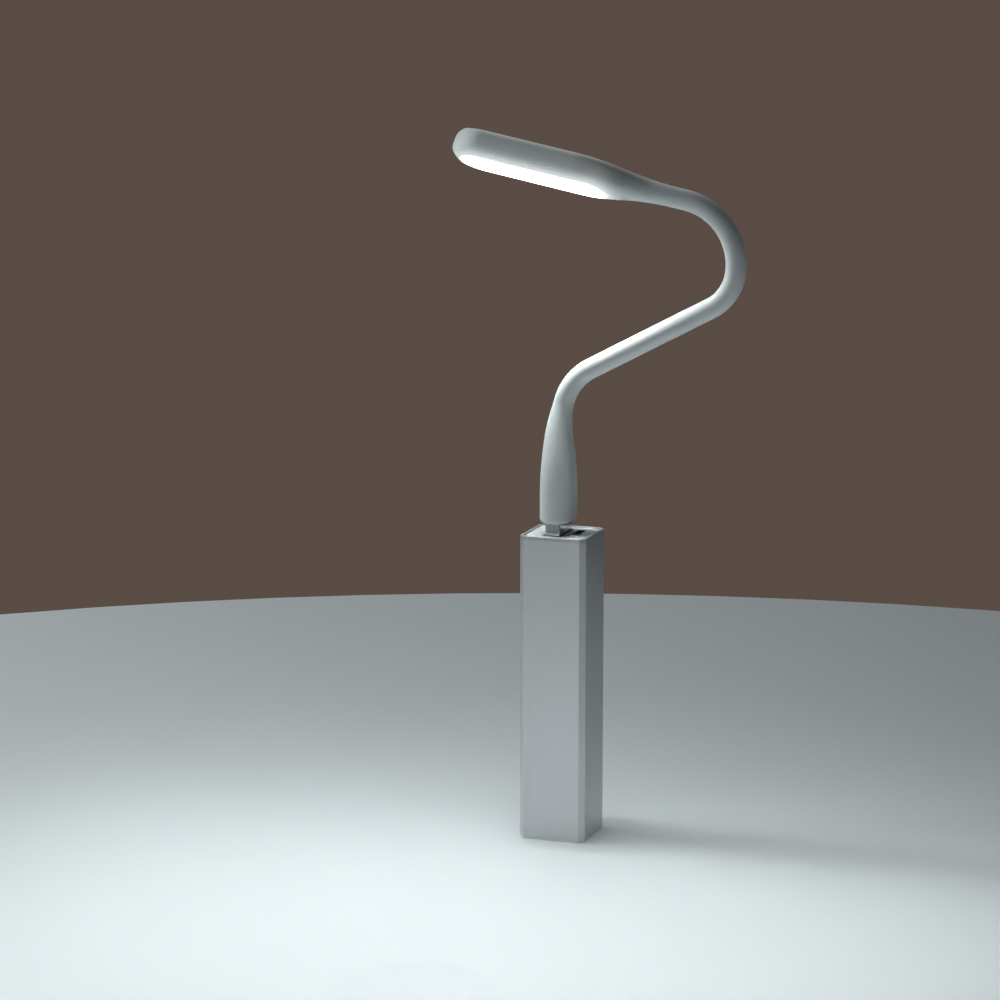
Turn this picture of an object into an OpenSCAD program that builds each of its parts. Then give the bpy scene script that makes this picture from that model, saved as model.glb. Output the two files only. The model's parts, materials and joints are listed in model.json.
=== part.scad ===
// USB reading light plugged into a stick power bank.
// The power bank stands upright on the origin, its broad faces square to X and Y, and is the light's foot.
// The light is one soft moulding over a plug, a stay-put wire and a flat head. The neck is drawn
// as bent: a chain of straight and round runs in the X-Z plane, cut into links that turn on each other.

/* [Power bank case] */
// Gap between the cell's sleeve and the inside of the tube
cell_fit = 0.1; // [0.05:0.05:0.5]
// Leg of the flat chamfer down each upright corner
case_chamfer = 1.6; // [0.8:0.1:2.2]
// Wall of the aluminium tube
case_wall = 0.95; // [0.7:0.05:1]
// Gap round each plastic cap inside the tube
cap_fit = 0.15; // [0.05:0.01:0.2]
// Height of the foot that the bottom cap leaves below the tube
foot_h = 0.6; // [0.4:0.1:1.5]
// How far the foot stands back from the outside of the tube
foot_inset = 0.45; // [0.2:0.05:0.8]
// Height of the bottom cap's plug inside the tube
bottom_plug_h = 1.4; // [1:0.1:3]
// Thickness of the top cap
top_cap_t = 1.6; // [1.2:0.1:2.4]
// How far the top cap sits below the rim of the tube
top_cap_recess = 0.3; // [0.1:0.05:0.8]

/* [Cell] */
// Diameter of the cell's can
cell_d = 18.2; // [17.8:0.05:18.3]
// Height of the cell's can
cell_h = 64.3; // [60:0.1:65]
// Thickness of the printed sleeve on the cell
sleeve_t = 0.15; // [0.08:0.01:0.2]
// Diameter of the cell's top button
button_d = 8; // [6:0.5:10]
// Height of the cell's top button
button_h = 0.7; // [0.5:0.1:1.2]
// Thickness of the nickel strips
strip_t = 0.2; // [0.1:0.05:0.3]
// Width of the nickel strips
strip_w = 3; // [2:0.25:4]

/* [Circuit board] */
// Thickness of the board
board_t = 1.6; // [1:0.2:2]
// How far each edge of the board stays inside the side of the cap
board_edge = 1.2; // [1:0.1:1.5]
// Gap between the board and what holds it
board_fit = 0.05; // [0.02:0.01:0.1]
// Gap between the cell's upper strip and the board
board_lift = 1.6; // [1:0.1:3]
// Length of the strips' tabs on the board
strip_tab = 3; // [2:0.1:4]
// Diameter of the inductor below the socket
inductor_d = 5; // [4:0.1:6]
// Gap between neighbouring parts on the board
part_gap = 0.85; // [0.3:0.05:2]
// Height of the posts under the top cap that grip the board's edges
post_h = 7; // [4:0.5:10]

/* [USB socket and plug] */
// Where the plug stands off the centre of the case, along X
plug_x = -1.2; // [-1.6:0.1:-0.8]
// Width of the plug's steel shell, along Y
plug_w = 12; // [11.8:0.05:12.1]
// Thickness of the plug's steel shell, along X
plug_t = 4.5; // [4.3:0.05:4.6]
// Length of the plug below the cover
plug_len = 15.5; // [14.5:0.1:16.5]
// Thickness of the sheet that shells and sockets are folded from
sheet_t = 0.3; // [0.2:0.05:0.4]
// How much of the plug shows between the case's top cap and the cover
plug_show = 3.6; // [3.2:0.1:5]
// Gap round the plug across the socket's width
socket_gap_w = 0.25; // [0.15:0.05:0.4]
// Gap round the plug across the socket's thickness
socket_gap_t = 0.31; // [0.15:0.01:0.4]
// Thickness of the socket's closed back
socket_back = 2; // [1.5:0.1:3]
// Gap between the end of the plug and the socket's back
plug_stop_gap = 0.1; // [0.05:0.05:0.5]
// Gap between two faces that slide on each other
slide_fit = 0.1; // [0.05:0.01:0.15]
// Thickness of a contact strip
contact_t = 0.2; // [0.15:0.05:0.25]
// Outer width of the charge port, along Y
port_w = 7.5; // [7:0.1:8]
// Outer thickness of the charge port, along X
port_t = 2.5; // [2.3:0.1:3]
// Where the charge port stands off the centre of the case, along Y
port_y = 2; // [-2.5:0.1:2.5]
// Depth of the charge port
port_depth = 5.6; // [5:0.1:6.5]

/* [Lamp cover] */
// Soft skin over the hard core's narrow sides
skin_side = 0.65; // [0.6:0.05:1.5]
// Soft skin over the hard core's broad sides
skin_face = 1.15; // [1:0.05:2]
// Height above the cover's lower rim at which it begins to narrow
taper_start = 8; // [5:0.5:11]
// Radius of the cover's lower rim
rim_r = 1.3; // [0.6:0.1:2]
// Wall of the hard core beside the plug's narrow faces
core_side = 0.6; // [0.5:0.05:0.8]
// Wall of the hard core over the plug's broad faces
core_face = 1.45; // [1:0.05:1.6]
// Thickness of the soft lip under the hard core
core_lip = 0.4; // [0.3:0.05:0.8]
// Height of the broad part of the hard core
core_h = 12; // [10:0.5:13]
// Diameter of the core's neck round the wire
core_neck_d = 5; // [4.8:0.1:5.2]
// Height of the whole hard core
core_top = 21; // [18:0.5:23]

/* [Neck] */
// Diameter of the neck
neck_d = 6.1; // [5.8:0.1:6.8]
// Straight rise from the cover's lower rim
rise = 23.7; // [22:0.1:28]
// Radius of the first gentle lean
lean_r = 47.5; // [40:0.5:60]
// Angle of the first gentle lean
lean_angle = 15; // [8:1:18]
// Radius of the lower bend
lower_r = 16.5; // [14:0.5:22]
// Angle of the lower bend
lower_angle = 47; // [35:1:55]
// Straight reach between the bends
reach = 41.4; // [34:0.2:52]
// Radius of the upper bend's first half
upper_r = 14; // [12:0.5:20]
// Angle of the upper bend's first half
upper_angle = 59; // [50:1:65]
// Radius of the crown of the bend
crown_r = 18.9; // [16:0.1:24]
// Angle of the crown of the bend
crown_angle = 81.5; // [70:0.5:88]
// Gap between the domed end of a link and the cup of the next
joint_gap = 0.15; // [0.1:0.01:0.2]
// How far each link's wall stands back from the turning point below it
joint_groove = 1.6; // [1.4:0.1:2]
// Diameter of the stay-put wire
wire_d = 2; // [1.6:0.1:2.2]
// Diameter of each insulated lead
lead_d = 1.1; // [0.9:0.05:1.2]
// Gap between the leads and the wire
lead_gap = 0.15; // [0.05:0.01:0.2]
// Gap round the wire and the leads in the moulding
mould_gap = 0.03; // [0.02:0.01:0.06]

/* [Head] */
// Length of the head from the end of the neck's last bend
head_len = 73; // [70:0.5:84]
// Width of the head
head_w = 20; // [19.4:0.2:24]
// Thickness of the head
head_t = 9; // [8.8:0.1:11]
// Where the head begins to widen, from the end of the neck's last bend
flare_start = 9.5; // [8:0.5:12]
// Length over which the head widens
flare_len = 24; // [20:0.5:26]
// Turn of the head about its own length, from square to the neck's plane
head_roll = 24.5; // [0:0.5:35]
// Width of the lit window
window_w = 14.4; // [12:0.2:15]
// Distance from the end of the neck's last bend to the window
window_root = 22.6; // [21.2:0.1:26]
// Distance of the window from the tip of the head
window_inset = 2.8; // [2.6:0.1:4]
// Gap round the window
window_fit = 0.06; // [0.04:0.01:0.1]
// Depth from the head's middle to the window's inner face
window_seat = 2.5; // [2.3:0.1:2.8]
// Wall of the hard tray round the window
tray_wall = 0.8; // [0.6:0.1:1]
// Height of the tray's rim round the window
tray_lip = 0.6; // [0.4:0.1:0.7]
// Width of the ledge in the tray that the window rests on
tray_ledge = 1.1; // [0.8:0.1:1.4]
// Thickness of the tray's closed back
tray_back = 0.9; // [0.7:0.1:1.1]
// Thickness of the LED board
led_board_t = 1; // [0.8:0.1:1.2]
// Number of LEDs
led_count = 8; // [6:1:8]
// Length and width of one LED
led_size = 3.2; // [2.8:0.1:3.5]
// Height of one LED
led_h = 0.8; // [0.6:0.1:1]

/* [Hidden] */
$fn = 48;
eps = 0.01;
mirror_sides = [-1, 1];

// Heights in the power bank: each part stands on the one below, and the tube is as tall as they need
sleeve_d = cell_d + 2 * sleeve_t;
case_inner = sleeve_d + 2 * cell_fit;
case_w = case_inner + 2 * case_wall;
inner_chamfer = case_chamfer - case_wall * (2 - sqrt(2));
cap_w = case_inner - 2 * cap_fit;
board_w = cap_w - 2 * board_edge;
plug_top = foot_h + bottom_plug_h;
cell_z = plug_top + strip_t;
cell_top = cell_z + cell_h;
button_top = cell_top + button_h;
sleeve_lip = 1.6;
board_z = button_top + strip_t + board_lift;
inductor_z = board_z + strip_tab + part_gap + inductor_d / 2;
socket_z = inductor_z + inductor_d / 2 + part_gap;
socket_depth = socket_back + plug_stop_gap + plug_len - plug_show;
cap_top = socket_z + socket_depth;
cap_bottom = cap_top - top_cap_t;
board_top = cap_bottom - board_fit;
case_top = cap_top + top_cap_recess;
case_h = case_top - foot_h;

// Socket, board and charge port, in step along X
socket_w = plug_w + 2 * socket_gap_w;
socket_t = plug_t + 2 * socket_gap_t;
socket_outer_w = socket_w + 2 * sheet_t;
socket_outer_t = socket_t + 2 * sheet_t;
board_x = plug_x + socket_outer_t / 2;
port_x = board_x + board_t + port_t / 2;
port_z = cap_top - port_depth;
capacitor_len = 3.2;
capacitor_z = port_z - 2 * part_gap - capacitor_len;
post_inner = socket_outer_w / 2 + board_fit;
window_gap = 0.1;
contact_pitch = 2.5;
contact_w = 1;

// Plug
cover_z = cap_top + plug_show;
plug_z = cover_z - plug_len;
plug_inner_w = plug_w - 2 * sheet_t;
plug_inner_t = plug_t - 2 * sheet_t;
plug_back = 6;
plug_r = 0.6;
plug_block_h = 4;
core_w = plug_w + 2 * core_side;
core_t = plug_t + 2 * core_face;
core_r = core_t / 2 - 0.7;
cover_w = core_w + 2 * skin_side;
cover_t = core_t + 2 * skin_face;
tip_step = 0.5;

// Neck, its turning points and what runs through it
neck_r = neck_d / 2;
dome_r = neck_r - 0.05;
cup_r = dome_r + joint_gap;
lead_y = (wire_d + lead_d) / 2 + lead_gap;
core_start = cup_r + 0.15;
wire_reach = sqrt(pow(dome_r - 0.1, 2) - pow(wire_d / 2, 2));
lead_reach = sqrt(pow(dome_r - 0.1, 2) - pow(lead_y + lead_d / 2, 2));
wire_foot_s = plug_back + 2;
lead_foot_s = plug_block_h + 0.55;
seam_gap = 0.05;
seam_bead = 0.02;

// The lamp's route: each run is [length, turn in degrees, links], a turn to the right being negative
function arc_len(r, a) = r * a * PI / 180;
RUNS = [
    [rise, 0, 0],
    [arc_len(lean_r, lean_angle), -lean_angle, 0],
    [arc_len(lower_r, lower_angle), -lower_angle, 1],
    [reach, 0, 4],
    [arc_len(upper_r, upper_angle), upper_angle, 1],
    [arc_len(crown_r, crown_angle), crown_angle, 3],
    [head_len, 0, 0]
];
head_run = len(RUNS) - 1;

// Length along the route at which run i begins
function run_start(i) = i == 0 ? 0 : run_start(i - 1) + RUNS[i - 1][0];
// Heading on run i at length s, in degrees up from +X
function heading_on(i, s) = (i == 0 ? 90 : heading_on(i - 1, run_start(i)))
    + RUNS[i][1] * (s - run_start(i)) / RUNS[i][0];
// Step [x, z] over a length s that starts at heading h and turns by a
function step_along(h, a, s) = a == 0
    ? [s * cos(h), s * sin(h)]
    : let (r = s / (a * PI / 180)) [r * (sin(h + a) - sin(h)), r * (cos(h) - cos(h + a))];
// Place [x, z] on run i at length s, which may lie past the run's ends
function point_on(i, s) = let (from = run_start(i), h = heading_on(i, from))
    (i == 0 ? [plug_x, cover_z] : point_on(i - 1, from))
    + step_along(h, heading_on(i, s) - h, s - from);
// Place [x, 0, z] on run i at length s
function place_on(i, s) = let (p = point_on(i, s)) [p[0], 0, p[1]];

// Every link lies in one run, and a turning point is at each link's ends
LINK_RUNS = [for (i = [0:head_run], j = [0:1:RUNS[i][2] - 1]) i];
JOINTS = concat(
    [for (i = [0:head_run], j = [0:1:RUNS[i][2] - 1]) run_start(i) + RUNS[i][0] * j / RUNS[i][2]],
    [run_start(head_run)]
);
links = len(LINK_RUNS);
cover_len = JOINTS[0];
head_s = JOINTS[links];

// Tray and window
window_len = head_len - window_inset - window_root;
tray_w = window_w + 2 * tray_wall;
tray_len = window_len + 2 * tray_wall;
tray_tip = head_len - window_inset + tray_wall;
tray_end = tray_tip - tray_len;
tray_z = -window_seat - tray_lip;
cavity_w = window_w - 2 * tray_ledge;
cavity_len = window_len - 2 * tray_ledge;
cavity_tip = head_len - window_inset - tray_ledge;
cavity_end = cavity_tip - cavity_len;
led_board_z = lead_d / 2 + mould_gap;
tray_floor = led_board_z + led_board_t;
tray_top = tray_floor + tray_back;
board_gap = 0.1;
resistor_len = 1.6;
resistor_w = 2.6;
resistor_x = cavity_end + board_gap + 1.4 + resistor_len / 2;
led_clear = 0.3;
led_first = cavity_tip - cavity_w / 2;
led_last = resistor_x + resistor_len / 2 + led_clear + led_size / 2;
led_pitch = (led_first - led_last) / (led_count - 1);
wire_stop = 3;
wire_tip_x = tray_end - wire_stop;
lead_tip_x = cavity_end + board_gap / 2;

// Outlines
// Square with its corners cut off flat
function chamfered(w, c) = let (a = w / 2, b = w / 2 - c)
    [[-b, -a], [b, -a], [a, -b], [a, b], [b, a], [-b, a], [-a, b], [-a, -b]];
// Ease from 0 to 1 as t goes from 0 to 1
function ease(t) = let (u = min(1, max(0, t))) u * u * (3 - 2 * u);

module chamfered_bar(w, c, h) {
    linear_extrude(h) polygon(chamfered(w, c));
}

// Rectangle w along X by d along Y with round corners of radius r
module rounded(w, d, r) {
    square([w - 2 * r, d], center = true);
    square([w, d - 2 * r], center = true);
    for (x = mirror_sides, y = mirror_sides) translate([x * (w / 2 - r), y * (d / 2 - r)]) circle(r);
}

// Slot outline of width w whose far end is at x and whose length is l, lying back along X
module slot(x, l, w) {
    translate([x - l + w / 2, -w / 2]) square([l - w, w]);
    for (e = [x - w / 2, x - l + w / 2]) translate([e, 0]) circle(w / 2);
}

// Frame at length s on run i: local Z runs along it, local Y stays square to the lamp's plane
module at_run(i, s) {
    translate(place_on(i, s)) rotate([0, 90 - heading_on(i, s), 0]) children();
}

// Round bar of radius r on run i from s0 to s1, shifted by y out of the lamp's plane
module run_bar(i, s0, s1, r, y = 0) {
    turn = heading_on(i, s1) - heading_on(i, s0);
    if (RUNS[i][1] == 0) {
        at_run(i, s0) translate([0, y, 0]) cylinder(h = s1 - s0, r = r);
    } else {
        bend_r = (s1 - s0) / (abs(turn) * PI / 180);
        at_run(i, s0) rotate([0, 0, turn > 0 ? 0 : 180]) translate([-bend_r, 0, 0]) rotate([90, 0, 0])
            rotate_extrude(angle = abs(turn)) translate([bend_r, -sign(turn) * y]) circle(r);
    }
}

module wire_bar(i, s0, s1, gap = 0) {
    run_bar(i, s0, s1, wire_d / 2 + gap);
}

module lead_bars(i, s0, s1, gap = 0) {
    for (side = mirror_sides) run_bar(i, s0, s1, lead_d / 2 + gap, side * lead_y);
}

// Bar of radius r that passes from the rise into the lean, with a bead over the seam
module cover_bar(s0, s1, r, y = 0) {
    run_bar(0, s0, rise - seam_gap, r, y);
    at_run(1, rise) translate([0, y, 0]) sphere(r + seam_bead);
    run_bar(1, rise + seam_gap, s1, r, y);
}

// The stay-put wire and the two leads from s0 to the turning point above the cover
module cover_wire(s0, s1, gap = 0) {
    cover_bar(s0, s1, wire_d / 2 + gap);
}

module cover_leads(s0, s1, gap = 0) {
    for (side = mirror_sides) cover_bar(s0, s1, lead_d / 2 + gap, side * lead_y);
}

// Solid through a list of closed rings with equal numbers of points, each end closed round its middle
function middle(ring) = let (n = len(ring)) [
    for (axis = [0:2]) [for (p = ring) 1] * [for (p = ring) p[axis]] / n
];
module loft(rings) {
    n = len(rings[0]);
    last = len(rings) - 1;
    ends = (last + 1) * n;
    polyhedron(
        points = concat([for (ring = rings, p = ring) p], [middle(rings[0]), middle(rings[last])]),
        faces = concat(
            [for (j = [0:n - 1]) [ends, j, (j + 1) % n]],
            [for (i = [0:last - 1], j = [0:n - 1])
                [i * n + j, (i + 1) * n + j, (i + 1) * n + (j + 1) % n]],
            [for (i = [0:last - 1], j = [0:n - 1])
                [i * n + j, (i + 1) * n + (j + 1) % n, i * n + (j + 1) % n]],
            [for (j = [0:n - 1]) [ends + 1, last * n + (j + 1) % n, last * n + j]]
        )
    );
}

// Cover: a slot-shaped grip that narrows to the round neck along the route and ends in a dome
cover_sides = 32;
cover_steps = 18;
dome_step = 15;
// Slot-shaped ring square to heading h at place p: round ends of radius r, flat stretches of half-length flat
function slot_ring(p, h, r, flat) = [for (j = [0:cover_sides - 1]) let (
    a = 360 * (j + 0.5) / cover_sides,
    u = r * sin(a),
    y = r * cos(a) + sign(cos(a)) * flat
) p + [u * sin(h), y, -u * cos(h)]];
// 1 where the cover is full, 0 where it has become the neck
function cover_fullness(s) = let (t = max(0, s - taper_start) / (cover_len - taper_start))
    pow(max(0, 1 - t * t), 1.5);
// How far the lower rim is drawn in at length s
function rim_draw(s) = s >= rim_r ? 0 : rim_r - sqrt(rim_r * rim_r - (rim_r - s) * (rim_r - s));
function cover_ring(s) = let (run = s < rise ? 0 : 1, f = cover_fullness(s)) slot_ring(
    place_on(run, s),
    heading_on(run, s),
    (neck_d + (cover_t - neck_d) * f) / 2 - rim_draw(s),
    (cover_w - cover_t) / 2 * f
);
function dome_ring(a) = let (h = heading_on(1, cover_len)) slot_ring(
    place_on(1, cover_len) + dome_r * sin(a) * [cos(h), 0, sin(h)],
    h,
    dome_r * cos(a),
    0
);
cover_rings = concat(
    [for (s = [0, rim_r * 0.13, rim_r * 0.45, rim_r]) cover_ring(s)],
    [for (i = [0:cover_steps]) cover_ring(taper_start + (cover_len - taper_start) * i / cover_steps)],
    [for (a = [0:dome_step:90 - dome_step]) dome_ring(a)]
);

// Head: local X runs along the head, local Y across it and local Z out of its back
head_sides = 36;
head_flare_steps = 12;
head_tip_steps = 9;
back_power = 3.4;
lit_power = 3.4;
tip_power = 1.7;
module at_head() {
    translate(place_on(head_run, head_s)) rotate([0, -heading_on(head_run, head_s), 0])
        rotate([180 + head_roll, 0, 0]) children();
}
function flare(x) = ease((x - flare_start) / flare_len);
function head_half_w(x) = let (k = min(1, max(0, (x - head_len + head_w / 2) / (head_w / 2))))
    (neck_r + (head_w / 2 - neck_r) * flare(x)) * pow(1 - pow(k, tip_power), 1 / tip_power);
function head_half_t(x) = let (k = min(1, max(0, (x - head_len + head_t / 2) / (head_t / 2))))
    (neck_r + (head_t / 2 - neck_r) * flare(x + 6)) * sqrt(max(0, 1 - k * k));
// One quadrant law of a ring, from round at the neck to nearly square at the head
function squircle(c, power) = sign(c) * pow(abs(c), 2 / power);
function head_ring(x) = let (w = head_half_w(x), t = head_half_t(x), f = flare(x))
    [for (j = [0:head_sides - 1]) let (
        a = 360 * (j + 0.5) / head_sides,
        power = 2 + ((a < 180 ? back_power : lit_power) - 2) * f
    ) [x, w * squircle(cos(a), power), t * squircle(sin(a), power)]];
head_rows = concat(
    [joint_groove],
    [for (i = [0:head_flare_steps]) flare_start + flare_len * i / head_flare_steps],
    [for (i = [0:head_tip_steps])
        head_len - head_w / 2 + head_w / 2 * sin(88 * i / head_tip_steps)]
);
module head_form() {
    loft([for (x = head_rows) head_ring(x)]);
}

// ---- Power bank ----
module bank_case() {
    color([0.70, 0.71, 0.73]) translate([0, 0, foot_h]) difference() {
        chamfered_bar(case_w, case_chamfer, case_h);
        translate([0, 0, -1]) chamfered_bar(case_inner, inner_chamfer, case_h + 2);
    }
}

module bank_top_cap() {
    color([0.95, 0.96, 0.97]) difference() {
        union() {
            translate([0, 0, cap_bottom]) chamfered_bar(cap_w, inner_chamfer, top_cap_t);
            for (side = mirror_sides) board_post(side);
        }
        translate([plug_x, 0, cap_bottom - 1])
            linear_extrude(top_cap_t + 2)
                square([socket_outer_t, socket_outer_w] + [2, 2] * window_gap, center = true);
        translate([port_x, port_y, cap_bottom - 1])
            linear_extrude(top_cap_t + 2) square([port_t, port_w] + [2, 2] * window_gap, center = true);
        translate([board_x - board_fit, -board_w / 2 - board_fit, cap_bottom - post_h - 1])
            cube([board_t + 2 * board_fit, board_w + 2 * board_fit, post_h + 1]);
    }
}

// Post under the top cap with a groove for one edge of the board
module board_post(side) {
    post_out = cap_w / 2 - 0.3;
    post_x = board_t + 3;
    translate([board_x + board_t / 2 - post_x / 2, side > 0 ? post_inner : -post_out, cap_bottom - post_h])
        cube([post_x, post_out - post_inner, post_h + eps]);
}

module bank_bottom_cap() {
    color([0.90, 0.91, 0.92]) union() {
        chamfered_bar(case_w - 2 * foot_inset, case_chamfer, foot_h);
        chamfered_bar(cap_w, inner_chamfer, plug_top);
    }
}

// Steel can with its rolled groove below the rim
module cell_can() {
    groove_z = cell_h - 3.2;
    groove_r = 0.6;
    color([0.62, 0.63, 0.65]) translate([0, 0, cell_z]) difference() {
        cylinder(h = cell_h, d = cell_d);
        translate([0, 0, groove_z]) rotate_extrude() translate([cell_d / 2 + 0.1, 0]) circle(groove_r);
        translate([0, 0, cell_h - 0.4]) cylinder(h = 1, d = cell_d - 2.4);
    }
}

module cell_sleeve() {
    color([0.20, 0.45, 0.30]) translate([0, 0, cell_z]) difference() {
        cylinder(h = cell_h + sleeve_t, d = sleeve_d);
        translate([0, 0, -1]) cylinder(h = cell_h + 1, d = cell_d);
        translate([0, 0, cell_h - 1]) cylinder(h = 2, d = cell_d - 2 * sleeve_lip);
    }
}

module cell_button() {
    color([0.75, 0.75, 0.77]) translate([0, 0, cell_top - 0.4]) union() {
        cylinder(h = 0.4, d = cell_d - 2.6);
        cylinder(h = 0.4 + button_h, d = button_d);
    }
}

// Runs under the cell, up the empty corner of the tube and across to the board
module negative_strip() {
    corner_r = sleeve_d / 2 + 0.15;
    corner = corner_r * cos(45);
    strip_top = board_z + strip_tab;
    color([0.80, 0.80, 0.78]) union() {
        rotate([0, 0, 45]) {
            translate([0, -strip_w / 2, plug_top]) cube([corner_r + strip_t, strip_w, strip_t]);
            translate([corner_r, -strip_w / 2, plug_top]) cube([strip_t, strip_w, strip_top - plug_top]);
        }
        translate([board_x + board_t, corner - strip_w / 2, strip_top - strip_t])
            cube([corner + strip_t / 2 - board_x - board_t, strip_w / 2, strip_t]);
    }
}

// Lies on the button and turns up against the board
module positive_strip() {
    reach_x = board_x - strip_t + button_d / 2 - 1;
    color([0.80, 0.80, 0.78]) union() {
        translate([1 - button_d / 2, -strip_w / 2, button_top]) cube([reach_x + strip_t, strip_w, strip_t]);
        translate([board_x - strip_t, -strip_w / 2, button_top])
            cube([strip_t, strip_w, board_z + strip_tab - button_top]);
    }
}

module bank_board() {
    color([0.10, 0.35, 0.20]) translate([board_x, -board_w / 2, board_z])
        cube([board_t, board_w, board_top - board_z]);
}

// Folded shell, open at the top and closed by the tongue's foot, with a window for each latch spring
module usb_socket_shell() {
    color([0.78, 0.79, 0.80]) translate([plug_x, 0, socket_z]) difference() {
        linear_extrude(socket_depth) rounded(socket_outer_t, socket_outer_w, plug_r);
        translate([0, 0, -1]) linear_extrude(socket_depth + 2) rounded(socket_t, socket_w, plug_r - sheet_t);
        for (side = mirror_sides) translate([-socket_outer_t, side * 3 - 0.9, 5])
            cube([socket_outer_t, 1.8, 5]);
    }
}

module usb_socket_tongue() {
    tongue_w = 11;
    tongue_t = plug_inner_t / 2 - slide_fit - contact_t - 0.15;
    color([0.92, 0.93, 0.95]) translate([plug_x, 0, socket_z]) union() {
        linear_extrude(socket_back)
            square([socket_t - 2 * board_fit, socket_w - 2 * board_fit], center = true);
        translate([slide_fit + contact_t, -tongue_w / 2, 0]) cube([tongue_t, tongue_w, socket_depth - 1.5]);
    }
}

module usb_socket_contacts() {
    color([0.85, 0.70, 0.30]) translate([plug_x + slide_fit, 0, socket_z + socket_back])
        for (k = [-1.5:1:1.5]) translate([0, k * contact_pitch - contact_w / 2, 0])
            cube([contact_t, contact_w, socket_depth - socket_back - 2.5]);
}

// Charge port outline: flat on the board's side, narrowed on the other
module port_outline(w, t) {
    a = w / 2;
    b = t / 2;
    slope = 0.9;
    polygon([[-b, -a], [b - slope, -a], [b, -a + slope], [b, a - slope], [b - slope, a], [-b, a]]);
}

module charge_port_shell() {
    color([0.78, 0.79, 0.80]) translate([port_x, port_y, port_z]) difference() {
        linear_extrude(port_depth) port_outline(port_w, port_t);
        translate([0, 0, sheet_t]) linear_extrude(port_depth)
            port_outline(port_w - 2 * sheet_t, port_t - 2 * sheet_t);
    }
}

module charge_port_tongue() {
    tongue_w = 3.8;
    tongue_t = 0.6;
    color([0.12, 0.12, 0.13]) translate([port_x, port_y, port_z + sheet_t]) union() {
        translate([-tongue_t / 2, -tongue_w / 2, 0]) cube([tongue_t, tongue_w, port_depth - sheet_t - 0.9]);
        linear_extrude(1) port_outline(port_w - 2 * sheet_t - 0.1, port_t - 2 * sheet_t - 0.1);
    }
}

// Drum of wire between two flanges, lying on the board below the socket
module boost_inductor() {
    flange_t = 0.5;
    drum_h = 2.6;
    winding_depth = 0.6;
    color([0.18, 0.18, 0.19]) translate([board_x, 0, inductor_z]) rotate([0, -90, 0]) union() {
        cylinder(h = flange_t, d = inductor_d);
        cylinder(h = drum_h, d = inductor_d - 2 * winding_depth);
        translate([0, 0, drum_h - flange_t]) cylinder(h = flange_t, d = inductor_d);
    }
}

// Small-outline chip with four legs a side
module controller_chip() {
    body = [1.5, 3.9, 4.9];
    leg_out = 1;
    leg_w = 0.45;
    leg_pitch = 1.27;
    color([0.08, 0.08, 0.09])
    translate([board_x + board_t, 0, capacitor_z - part_gap - body[2] / 2]) union() {
        translate([0, -body[1] / 2, -body[2] / 2]) cube(body);
        for (k = [-1.5:1:1.5]) translate([0, -body[1] / 2 - leg_out, k * leg_pitch - leg_w / 2])
            cube([0.25, body[1] + 2 * leg_out, leg_w]);
    }
}

// Three chip capacitors on the board's charge side
module board_capacitors() {
    size = [0.9, 1.6, capacitor_len];
    pitch = 4.6;
    color([0.70, 0.58, 0.42]) for (y = [-pitch, 0, pitch])
        translate([board_x + board_t, y - size[1] / 2, capacitor_z]) cube(size);
}

// ---- Lamp plug and cover ----
module plug_shell() {
    latch_z = plug_z + 5.2;
    color([0.80, 0.81, 0.82]) difference() {
        translate([plug_x, 0, plug_z]) linear_extrude(plug_len + plug_back) rounded(plug_t, plug_w, plug_r);
        translate([plug_x, 0, plug_z - 1])
            linear_extrude(plug_len + plug_back + 2) rounded(plug_inner_t, plug_inner_w, plug_r - sheet_t);
        for (side = mirror_sides) translate([plug_x - plug_t, side * 3 - 1.1, latch_z])
            cube([2 * plug_t, 2.2, 2.4]);
    }
}

// Tongue on the -X half of the plug, over a full block inside the cover
module plug_tongue() {
    color([0.93, 0.93, 0.94]) translate([plug_x, 0, 0]) difference() {
        union() {
            translate([-plug_inner_t / 2, -plug_inner_w / 2 + 0.2, plug_z + tip_step])
                cube([plug_inner_t / 2, plug_inner_w - 0.4, plug_len - tip_step + 1]);
            translate([0, 0, cover_z + 0.5])
                linear_extrude(plug_block_h) rounded(plug_inner_t, plug_inner_w, plug_r - sheet_t);
        }
        for (side = mirror_sides) contact_bar(side, 0.02);
    }
}

// One power contact with its foot under the lead, or its slot when grown by gap
module contact_bar(side, gap = 0) {
    bar_w = 1.2;
    foot = 1;
    bar_y = contact_pitch * 1.5 - bar_w / 2;
    bar_z = plug_z + 1.2;
    bar_top = cover_z + 0.5 + plug_block_h;
    mirror([0, side < 0 ? 1 : 0, 0]) {
        translate([-contact_t - gap, bar_y - gap, bar_z - gap])
            cube([contact_t + 2 * gap, bar_w + 2 * gap, bar_top - bar_z + 2 * gap]);
        translate([-contact_t - gap, lead_y - lead_d / 2 - gap, bar_top - foot - gap])
            cube([contact_t + 2 * gap, bar_y - lead_y + lead_d / 2 + 2 * gap + eps, foot + 2 * gap]);
    }
}

module plug_contacts() {
    color([0.85, 0.70, 0.30]) translate([plug_x, 0, 0]) for (side = mirror_sides) contact_bar(side);
}

// Hard moulding that grips the plug's shell, the wire and the leads
module cover_core() {
    color([0.88, 0.88, 0.86]) difference() {
        core_form();
        translate([plug_x, 0, cover_z]) linear_extrude(plug_back) rounded(plug_t, plug_w, plug_r);
        wire_bar(0, wire_foot_s, core_top + 1, mould_gap);
        lead_bars(0, plug_back - 1, core_top + 1, mould_gap);
    }
}

module core_form() {
    translate([plug_x, 0, cover_z + core_lip])
        linear_extrude(core_h - core_lip) rounded(core_t, core_w, core_r);
    translate([plug_x, 0, cover_z + core_lip]) cylinder(h = core_top - core_lip, d = core_neck_d);
}

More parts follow.
